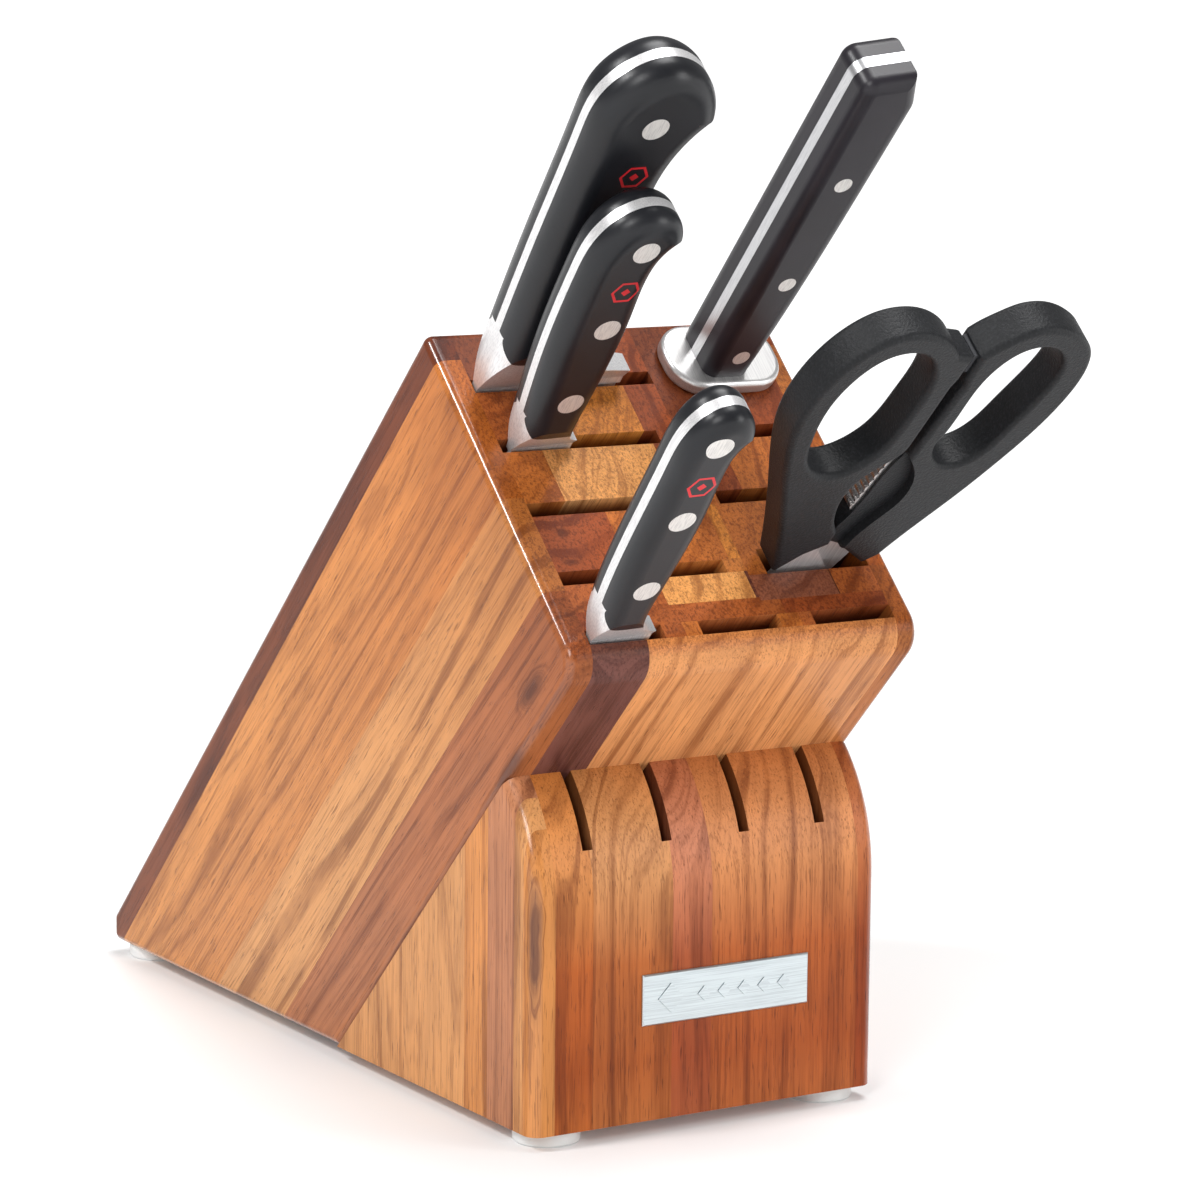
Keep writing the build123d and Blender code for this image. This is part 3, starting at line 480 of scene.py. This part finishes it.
# ---------------------------------------------------------------- floor and light
def paper_white():
    """Matt white paper with a faint tooth. It glows more with distance, to stay white past the lamps."""
    material, tree, surface = new_material("floor_white")
    tooth = noise(tree, scaled(tree, object_place(tree), (1.2, 1.2, 1.2)), detail=2.0)
    tree.links.new(bump(tree, tooth, 0.05, 0.02), surface.inputs["Normal"])
    surface.inputs["Base Color"].default_value = (0.84, 0.84, 0.84, 1.0)
    surface.inputs["Roughness"].default_value = 0.9
    surface.inputs["Specular IOR Level"].default_value = 0.0
    surface.inputs["Emission Color"].default_value = (1.0, 1.0, 1.0, 1.0)
    distance = put(tree, "VectorMath", {0: object_place(tree)}, out=1, operation="LENGTH")
    glow = calc(tree, "ADD", smooth(tree, distance, 150.0, 2600.0, 0.78), 0.10)
    tree.links.new(glow, surface.inputs["Emission Strength"])
    return material


def floor_mesh(half, rim):
    """A wide level sheet whose far edges stand up, so that no camera looks past it."""
    mesh = bpy.data.meshes.new("floor")
    around = ((-half, -half), (half, -half), (half, half), (-half, half))
    corners = [(x, y, 0.0) for x, y in around] + [(x, y, rim) for x, y in around]
    faces = [(0, 1, 2, 3)] + [(side, side + 4, (side + 1) % 4 + 4, (side + 1) % 4) for side in range(4)]
    mesh.from_pydata(corners, [], faces)
    return mesh


floor = bpy.data.objects.new("floor", floor_mesh(60.0, 6.0))
bpy.context.scene.collection.objects.link(floor)
floor.data.materials.append(paper_white())


def softbox(name, place, width, power, target=(0.0, 0.0, 0.14)):
    light = bpy.data.lights.new(name, "AREA")
    light.shape = "DISK"
    light.size = width
    light.energy = power
    lamp = bpy.data.objects.new(name, light)
    lamp.location = place
    lamp.rotation_euler = (Vector(target) - Vector(place)).to_track_quat("-Z", "Y").to_euler()
    bpy.context.scene.collection.objects.link(lamp)


softbox("key", (-1.5, -1.3, 1.2), 0.8, 16.0)
softbox("top", (0.3, -0.2, 1.9), 1.0, 26.0)
softbox("edge", (-1.25, 0.0, 1.42), 0.30, 14.0)
softbox("fill", (1.2, -1.5, 0.6), 0.8, 9.0)

world = bpy.data.worlds.new("studio")
world.use_nodes = True
world.node_tree.nodes["Background"].inputs["Color"].default_value = (1.0, 1.0, 1.0, 1.0)
world.node_tree.nodes["Background"].inputs["Strength"].default_value = 0.30
bpy.context.scene.world = world
bpy.context.scene.view_settings.view_transform = "Standard"
